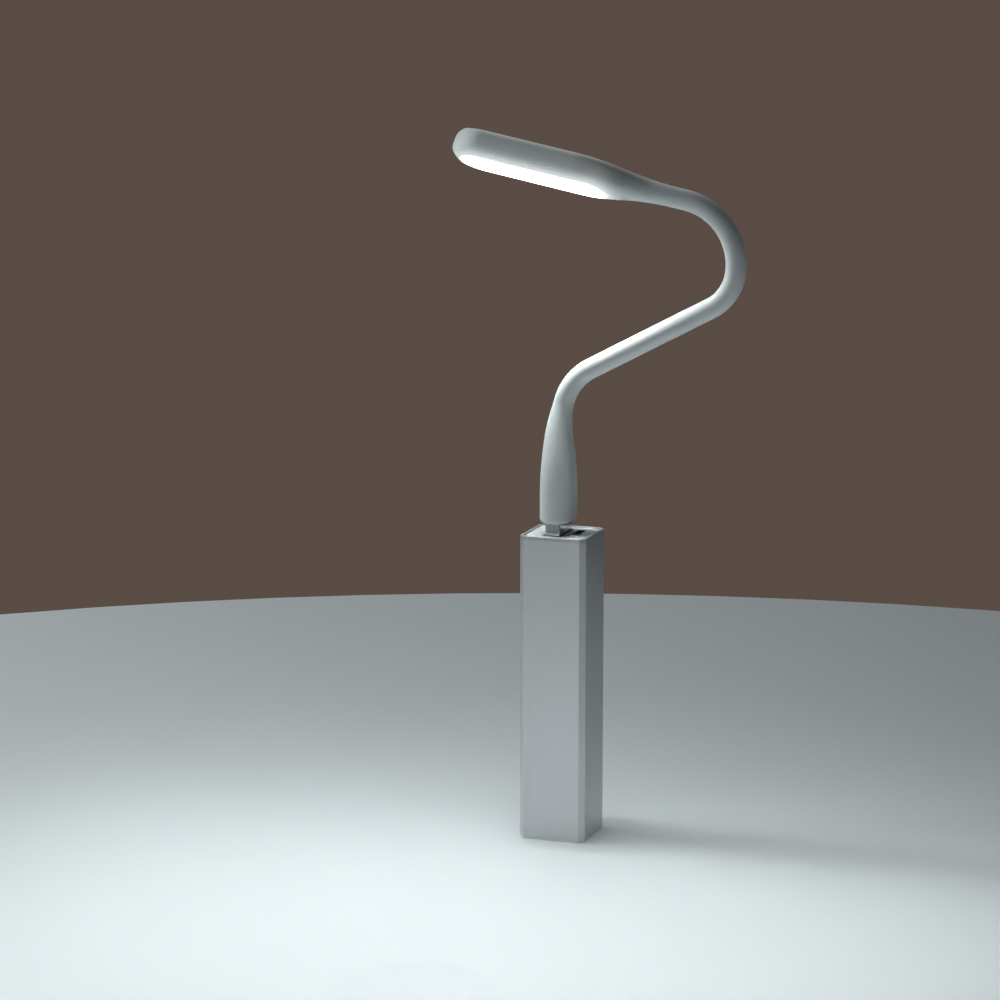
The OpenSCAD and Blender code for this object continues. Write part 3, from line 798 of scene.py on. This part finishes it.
def meshed(name: str, points: Sequence[Vector], faces: Sequence[Sequence[int]]) -> Piece:
    """Puts a mesh into the scene.

    Args:
        name: Name of the object and of its mesh.
        points: Its points in metres.
        faces: Its faces as indices of points.

    Returns:
        The object.
    """
    mesh = bpy.data.meshes.new(name)
    mesh.from_pydata(points, [], faces)
    return placed(name, mesh)


def band(low: int, high: int, count: int) -> list[list[int]]:
    """Returns the faces between two closed rows of points, which begin at the indices low and high."""
    return [[low + i, low + (i + 1) % count, high + (i + 1) % count, high + i] for i in range(count)]


def bake(piece: Piece) -> Piece:
    """Turns an object's modifiers into a plain mesh.

    Args:
        piece: Object with live modifiers.

    Returns:
        The same object without modifiers.
    """
    graph = bpy.context.evaluated_depsgraph_get()
    graph.update()
    made = bpy.data.meshes.new_from_object(
        piece.evaluated_get(graph), preserve_all_data_layers=True, depsgraph=graph
    )
    piece.modifiers.clear()
    piece.data = made
    made.name = piece.name
    return piece


def dress(piece: Piece, finish: Material) -> None:
    """Gives every slot of an object the same finish.

    Args:
        piece: Object to dress.
        finish: Material to put on it.
    """
    if not piece.material_slots:
        piece.data.materials.append(finish)
    for place in piece.material_slots:
        place.material = finish


def cut(piece: Piece, tool: Piece, kind: Cut) -> None:
    """Cuts a piece with a tool, throws the tool away and creases the new edges.

    Args:
        piece: Closed mesh that is kept.
        tool: Closed mesh that cuts.
        kind: What the tool takes off.
    """
    modifier = piece.modifiers.new("cut", "BOOLEAN")
    modifier.object = tool
    modifier.operation = kind.value
    modifier.solver = "EXACT"
    bake(piece)
    bpy.data.objects.remove(tool)
    crease_edges(piece)


def crease_edges(piece: Piece) -> None:
    """Shades a mesh smooth with its edges sharp over the crease angle.

    Args:
        piece: The mesh.
    """
    mesh = piece.data
    mesh.shade_smooth()
    beside: dict[tuple[int, int], list[Vector]] = {}
    for face in mesh.polygons:
        for key in face.edge_keys:
            beside.setdefault(key, []).append(face.normal.copy())
    for edge in mesh.edges:
        normals = beside.get(edge.key, [])
        if len(normals) == 2 and normals[0].angle(normals[1], 0.0) > math.radians(CREASE):
            edge.use_edge_sharp = True


def dress_nodes(*bodies: str) -> None:
    """Dresses the solids of some bodies that no piece stands in for.

    Args:
        *bodies: Names of the bodies.
    """
    record = frame["record"]
    slots = {part["node"]: part["material_slot"] for part in record["subparts"]}
    for name in [name for body in bodies for name in record["behaviour"]["bodies"][body]]:
        if slots[name] not in MADE_HERE:
            dress(frame["nodes"][name], material_of(slots[name]))
            log.info("dressed %s in %s", name, slots[name])


def report(piece: Piece, slot: str) -> None:
    """Logs a finished piece with its number of faces."""
    log.info("made %s with %d faces", piece.name, len(piece.data.polygons))


# ---- sub-assemblies


@dataclass
class PowerBank:
    """Square aluminium case, its caps, the cell and the electronics."""

    width: float = 20.6
    foot: float = 0.6
    top: float = 93.0
    wall: float = 0.95
    chamfer: float = 1.6
    edge_r: float = 0.3
    least_r: float = 0.08
    edge_step: float = 0.05
    edge_angles: tuple[float, ...] = (0, 11.25, 22.5, 33.75, 45)
    rim_r: float = 0.16
    inner_rim_r: float = 0.1
    rim_step: int = 18

    def outline(self, inset: float) -> list[complex]:
        """Makes the tube's section, with its eight edges broken.

        Each edge is an arc over 45 degrees, with one more point on the flat at either end of it.

        Args:
            inset: How far it stands inside the tube's outer faces.

        Returns:
            The points, anticlockwise, as x + iy.
        """
        half = self.width / 2 - inset
        leg = self.chamfer - inset * (2 - math.sqrt(2))
        radius = max(self.least_r, self.edge_r - inset)
        reach = radius * math.tan(math.radians(22.5))
        side = complex(half - radius, half - leg - reach)
        slope = complex(half - leg - reach, half - radius)
        points: list[complex] = []
        for quarter in range(4):
            for middle, heading in ((side, 0), (slope, 45)):
                row = [middle + polar(radius, heading + a) for a in self.edge_angles]
                row.insert(0, row[0] - polar(self.edge_step, heading + 90))
                row.append(row[-1] + polar(self.edge_step, heading + 135))
                points += [point * polar(1, 90 * quarter) for point in row]
        return points

    def rim(self, low: float, high: float, inset: float, way: float) -> list[tuple[float, float]]:
        """Rounds one edge of the tube's end, from a face to the end's flat.

        Args:
            low: Height at which the rounding leaves the face.
            high: Height of the flat.
            inset: How far the face stands inside the tube's outer faces.
            way: 1 where the rounding goes inwards and -1 where it goes outwards.

        Returns:
            The inset and height of each row.
        """
        size = abs(high - low)
        turns = [polar(1, a) for a in range(0, 91, self.rim_step)]
        shares = [(0.0, -END_STEP / size)] + [(1 - turn.real, turn.imag) for turn in turns]
        return [(inset + way * size * x, low + (high - low) * z) for x, z in shares]

    def case(self) -> Piece:
        """Makes the extruded tube with its edges broken.

        Returns:
            The piece.
        """
        profile = self.rim(self.top - self.rim_r, self.top, 0.0, 1)
        profile += self.rim(self.top - self.inner_rim_r, self.top, self.wall, -1)[::-1]
        profile += self.rim(self.foot + self.inner_rim_r, self.foot, self.wall, -1)
        profile += self.rim(self.foot + self.rim_r, self.foot, 0.0, 1)[::-1]
        rows = [[Vector((p.real, p.imag, z)) * MM for p in self.outline(inset)] for inset, z in profile]
        count = len(rows[0])
        starts = [i * count for i in range(len(rows))] + [0]
        faces = [face for low, high in zip(starts, starts[1:]) for face in band(low, high, count)]
        piece = meshed("case_tube", [point for row in rows for point in row], faces)
        piece.data.shade_smooth()
        dress(piece, material_of("case_metal"))
        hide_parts("bank_case")
        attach(piece, "power_bank")
        return piece

    def build(self) -> None:
        """Makes the case and dresses the other solids of the power bank."""
        report(self.case(), "case_metal")
        dress_nodes("power_bank")


@dataclass
class Neck:
    """Plug, cover and the stay-put neck."""

    route: Route
    sweeps: SweepTree
    cover_w: float = 14.5
    cover_t: float = 9.7
    taper_start: float = 8.0
    taper_power: float = 1.5
    rim_r: float = 1.3
    rim_step: int = 10
    plug_w: float = 12.0
    plug_t: float = 4.5
    plug_hole: float = 3.0
    plug_gap: float = 0.03
    hole_power: float = 8.6
    bend_reach: float = 4.6
    sides: int = 64
    pitch: float = 0.4
    margin: float = 0.16

    def fullness(self, s: float) -> float:
        """Returns 1 where the cover is full and 0 where it has become the neck."""
        share = max(0.0, s - self.taper_start) / (self.route.joints()[0] - self.taper_start)
        return max(0.0, 1 - share * share) ** self.taper_power

    def stations(self, start: float, end: float) -> list[float]:
        """Spaces lengths evenly, with a close one beside each end.

        Args:
            start: First length.
            end: Last length.

        Returns:
            The lengths.
        """
        count = max(2, round((end - start) / self.pitch))
        inner = [start + (end - start) * i / count for i in range(1, count)]
        return [start, start + END_STEP, *inner, end - END_STEP, end]

    def ring(self, s: float, draw: float = 0.0) -> Ring:
        """Makes the section at a length.

        Args:
            s: Length along the route.
            draw: How far the section is drawn in.

        Returns:
            The section.
        """
        full = self.fullness(s)
        radius = (NECK_D + (self.cover_t - NECK_D) * full) / 2 - draw
        return Ring(self.route.axes(s), radius, radius, (self.cover_w - self.cover_t) / 2 * full)

    def lower_end(self) -> list[Ring]:
        """Makes the sections of the plug's hole and of the rounded rim below the cover.

        Returns:
            The sections, from the hole's roof to the rim's upper end.
        """
        half, flat = self.plug_t / 2 + self.plug_gap, (self.plug_w - self.plug_t) / 2
        roof, mouth = self.route.axes(self.plug_hole), self.route.axes(0)
        rings = [Ring(roof, 0, 0)]
        rings += [Ring(axes, half, half, flat, self.hole_power) for axes in (roof, mouth)]
        for angle in range(0, 91, self.rim_step):
            s = self.rim_r * (1 - math.cos(math.radians(angle)))
            left = 0.0 if s >= self.rim_r else self.rim_r - math.sqrt(self.rim_r**2 - (self.rim_r - s) ** 2)
            rings.append(self.ring(s, left))
        return rings

    def cover(self) -> Piece:
        """Makes the skin from the plug's shoulder to the middle of the first link.

        Returns:
            The piece.
        """
        joints = self.route.joints()
        end = (joints[0] + joints[1]) / 2
        rings = self.lower_end() + [self.ring(s) for s in self.stations(self.rim_r, end)[1:]]
        rings.append(Ring(self.route.axes(end), 0, 0))
        piece = self.sweeps.sweep("cover", rings, self.sides, material_of("soft_skin"))
        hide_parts("cover_skin")
        near, far = (self.route.point(joints[0] + way * self.bend_reach) for way in (-1, 1))
        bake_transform(piece)
        return piece

    def sleeve(self, link: int) -> Piece:
        """Makes the skin from the middle of one link to the middle of the next.

        Args:
            link: Number of the lower link, from 1.

        Returns:
            The piece.
        """
        joints = self.route.joints()
        start = (joints[link - 1] + joints[link]) / 2
        end = (joints[link] + joints[link + 1]) / 2
        rings = [Ring(self.route.axes(start), 0, 0)]
        rings += [self.ring(s) for s in self.stations(start, end)]
        rings.append(Ring(self.route.axes(end), 0, 0))
        piece = self.sweeps.sweep(f"neck_sleeve_{link}", rings, self.sides, material_of("soft_skin"))
        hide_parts(f"neck_skin_{link}")
        near, far = self.route.point(start), self.route.point(end)
        tuple(near.lerp(far, self.margin))
        tuple(far.lerp(near, self.margin))
        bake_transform(piece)
        return piece

    def build(self) -> None:
        """Makes the cover and the neck, and dresses what is inside them."""
        report(self.cover(), "soft_skin")
        links = len(self.route.joints()) - 1
        for link in range(1, links):
            report(self.sleeve(link), "soft_skin")
        dress_nodes("lamp_plug", *(f"neck_{link}" for link in range(1, links + 1)))


@dataclass
class Head:
    """Flat head with its lit window, the tray and the LED board."""

    route: Route
    sweeps: SweepTree
    length: float = 73.0
    width: float = 20.0
    thickness: float = 9.0
    flare_start: float = 9.5
    flare_len: float = 24.0
    thick_lead: float = 6.0
    roll: float = 24.5
    section_power: float = 3.4
    tip_power: float = 1.7
    tip_step: int = 3
    blend_before: float = 3.2
    blend_after: float = 5.0
    window_w: float = 14.4
    window_len: float = 47.6
    window_inset: float = 2.8
    window_fit: float = 0.06
    window_seat: float = 2.5
    window_form_start: float = 12.0
    slot_steps: int = 32
    sides: int = 96
    pitch: float = 0.5

    @property
    def foot(self) -> float:
        """Returns the length along the route at which the head begins."""
        return self.route.joints()[-1]

    def axes(self, x: float = 0.0) -> Matrix:
        """Returns the head's axes at a distance: X along it, Y across it, Z out of its back."""
        return self.route.axes(self.foot + x, 180 + self.roll)

    def flare(self, x: float) -> float:
        """Returns 0 at the neck and 1 where the head has its full size."""
        u = min(1.0, max(0.0, (x - self.flare_start) / self.flare_len))
        return u * u * (3 - 2 * u)

    def closing(self, x: float, half: float) -> float:
        """Returns 0 where the tip begins to close over a half size and 1 at its end."""
        return min(1.0, max(0.0, (x - self.length + half) / half))

    def ring(self, x: float) -> Ring:
        """Makes the section at a distance from the neck's end.

        Args:
            x: The distance, below 0 on the neck itself.

        Returns:
            The section.
        """
        radius = NECK_D / 2
        half_v = radius + (self.width / 2 - radius) * self.flare(x)
        half_v *= (1 - self.closing(x, self.width / 2) ** self.tip_power) ** (1 / self.tip_power)
        half_u = radius + (self.thickness / 2 - radius) * self.flare(x + self.thick_lead)
        half_u *= math.sqrt(max(0.0, 1 - self.closing(x, self.thickness / 2) ** 2))
        return Ring(self.axes(x), half_u, half_v, 0, 2 + (self.section_power - 2) * self.flare(x))

    def form(self, name: str, start: float, finish: Material) -> Piece:
        """Makes the head's whole outer form.

        Args:
            name: Name of the piece.
            start: Distance at which it begins.
            finish: Material of the piece.

        Returns:
            The piece.
        """
        tip = self.length - self.width / 2
        count = round((tip - start) / self.pitch)
        rows = [start, start + END_STEP] + [start + (tip - start) * i / count for i in range(1, count)]
        rows += [tip + self.width / 2 * math.sin(math.radians(a)) for a in range(0, 90, self.tip_step)]
        rings = [Ring(self.route.axes(self.foot + start), 0, 0)] + [self.ring(x) for x in rows]
        rings.append(Ring(self.route.axes(self.foot + self.length), 0, 0))
        return self.sweeps.sweep(name, rings, self.sides, finish)

    def slot_tool(self, gap: float) -> Piece:
        """Makes a slot-shaped bar that stands through the head's lit face.

        Args:
            gap: How much smaller it is all round than the opening.

        Returns:
            The bar.
        """
        radius = self.window_w / 2 - gap
        far = self.length - self.window_inset - self.window_w / 2
        near = self.length - self.window_inset - self.window_len + self.window_w / 2
        turn = [180 * i / self.slot_steps for i in range(self.slot_steps + 1)]
        outline = [far + polar(radius, a - 90) for a in turn] + [near + polar(radius, a + 90) for a in turn]
        axes, count = self.axes(), len(outline)
        heights = (-self.thickness, -self.window_seat)
        points = [axes @ (Vector((p.real, p.imag, z)) * MM) for z in heights for p in outline]
        ends = [list(range(count))[::-1], list(range(count, 2 * count))]
        return meshed("slot_tool", points, band(0, count, count) + ends)

    def skin(self, finish: Material) -> Piece:
        """Makes the head's skin with the window's opening.

        Args:
            finish: Material of the skin.

        Returns:
            The piece.
        """
        joints = self.route.joints()
        piece = self.form("head_shell", (joints[-2] - joints[-1]) / 2, finish)
        cut(piece, self.slot_tool(0.0), Cut.INSIDE)
        links = len(joints) - 1
        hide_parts("head_skin", f"neck_skin_{links}")
        middle, way = self.route.point(self.foot), self.route.direction(self.foot)
        start, end = middle - self.blend_before * MM * way, middle + self.blend_after * MM * way
        tuple(start)
        tuple(end)
        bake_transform(piece)
        return piece

    def window(self, finish: Material) -> Piece:
        """Makes the milky window that carries on the head's crowned face.

        Args:
            finish: Material of the window.

        Returns:
            The piece.
        """
        piece = self.form("lit_window", self.window_form_start, finish)
        cut(piece, self.slot_tool(self.window_fit), Cut.OUTSIDE)
        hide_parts("window")
        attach(piece, "head")
        return piece

    def build(self) -> None:
        """Makes the head and dresses what is inside it."""
        middle = self.length - self.window_inset - self.window_len / 2
        slot = Slot(
            axes=self.axes(),
            middle=(middle * MM, 0.0, -self.thickness / 2 * MM),
            half=(self.window_len - self.window_w) / 2 * MM,
            radius=self.window_w / 2 * MM,
        )
        report(self.skin(SKIN.lit_material(slot)), SKIN.slot)
        report(self.window(WINDOW.lit_material(slot)), WINDOW.slot)
        dress_nodes("head")


# ---- studio


@dataclass(frozen=True)
class Lamp:
    """A soft rectangular lamp of a power in watts; metal doesn't show one that isn't mirrored."""

    name: str
    place: Point
    size: tuple[float, float]
    power: float
    aim: Point = (0, 0, 110)
    mirrored: bool = True


@dataclass
class Studio:
    """Floor, background, lamps and camera.

    The desk lamp hangs low in front and faces down, so that it lights the floor and little else. It
    isn't mirrored, since the case would show it as a bright bar.
    """

    floor_radius: float = 550.0
    floor_middle: tuple[float, float] = (60.0, -200.0)
    floor_drop: float = 0.02
    floor_colour: Colour = (0.70, 0.73, 0.73)
    floor_rough: float = 0.6
    backdrop: Colour = (0.100, 0.073, 0.060)
    ambient: Colour = (0.93, 0.97, 1.0)
    ambient_strength: float = 0.05
    lamps: tuple[Lamp, ...] = (
        Lamp("key", (-200, 450, 720), (500, 500), 0.9),
        Lamp("side", (-600, -40, 540), (500, 500), 2.5),
        Lamp("desk", (10, -150, 92), (340, 280), 0.34, aim=(10, -150, 0), mirrored=False),
    )
    tint: Colour = (0.92, 0.98, 1.0)
    eye: Point = (304.6, -914.9, 283.9)
    view: Point = (-0.3284, 0.9263, -0.1848)
    lens: float = 118.5
    nearest: float = 10.0

    def floor(self) -> None:
        """Makes the plain floor disc."""
        count = 96
        middle = complex(*self.floor_middle)
        edge = [middle + polar(self.floor_radius, 360 * i / count) for i in range(count)]
        points = [Vector((p.real, p.imag, -self.floor_drop)) * MM for p in edge]
        floor = meshed("floor", points, [list(range(count))])
        canvas = Canvas("floor_paint")
        canvas.mottle(self.floor_colour, spread=0.01, scale=6)
        canvas.set(Roughness=self.floor_rough)
        dress(floor, canvas.material)

    def world(self) -> None:
        """Sets a warm grey background and a faint even light."""
        world = bpy.data.worlds.new("studio")
        bpy.context.scene.world = world
        world.use_nodes = True
        world.node_tree.nodes.clear()
        sky = Nodes(world.node_tree)
        mix = sky.node("ShaderNodeMixShader")
        sky.join(sky.node("ShaderNodeLightPath").outputs["Is Camera Ray"], mix.inputs["Fac"])
        for socket, colour, strength in ((1, self.ambient, self.ambient_strength), (2, self.backdrop, 1.0)):
            light = sky.node("ShaderNodeBackground")
            light.inputs["Color"].default_value = (*colour, 1)
            light.inputs["Strength"].default_value = strength
            sky.join(light.outputs[0], mix.inputs[socket])
        sky.join(mix.outputs[0], sky.node("ShaderNodeOutputWorld").inputs["Surface"])

    def hang(self, lamp: Lamp) -> None:
        """Adds a lamp.

        Args:
            lamp: Its place, size and power.
        """
        data = bpy.data.lights.new(lamp.name, "AREA")
        data.shape = "RECTANGLE"
        data.size, data.size_y = (value * MM for value in lamp.size)
        data.energy = lamp.power
        data.color = self.tint
        made = placed(lamp.name, data)
        made.visible_camera = False
        made.visible_glossy = lamp.mirrored
        made.location = Vector(lamp.place) * MM
        made.rotation_euler = (Vector(lamp.aim) - Vector(lamp.place)).to_track_quat("-Z", "Y").to_euler()

    def camera(self) -> None:
        """Sets the camera."""
        data = bpy.data.cameras.new("camera")
        data.lens = self.lens
        data.clip_start = self.nearest * MM
        camera = placed("camera", data)
        camera.location = Vector(self.eye) * MM
        camera.rotation_euler = Vector(self.view).to_track_quat("-Z", "Y").to_euler()
        bpy.context.scene.camera = camera

    def build(self) -> None:
        """Sets up the whole studio."""
        self.floor()
        self.world()
        for lamp in self.lamps:
            self.hang(lamp)
        self.camera()
        bpy.context.scene.view_settings.view_transform = "Standard"


def main() -> None:
    """Builds the light on its power bank and the studio round it."""
    logging.basicConfig(level=logging.INFO, format="%(message)s")
    route = Route()
    sweeps = SweepTree()
    PowerBank().build()
    Neck(route, sweeps).build()
    Head(route, sweeps).build()
    Studio().build()


if __name__ == "__main__":
    main()
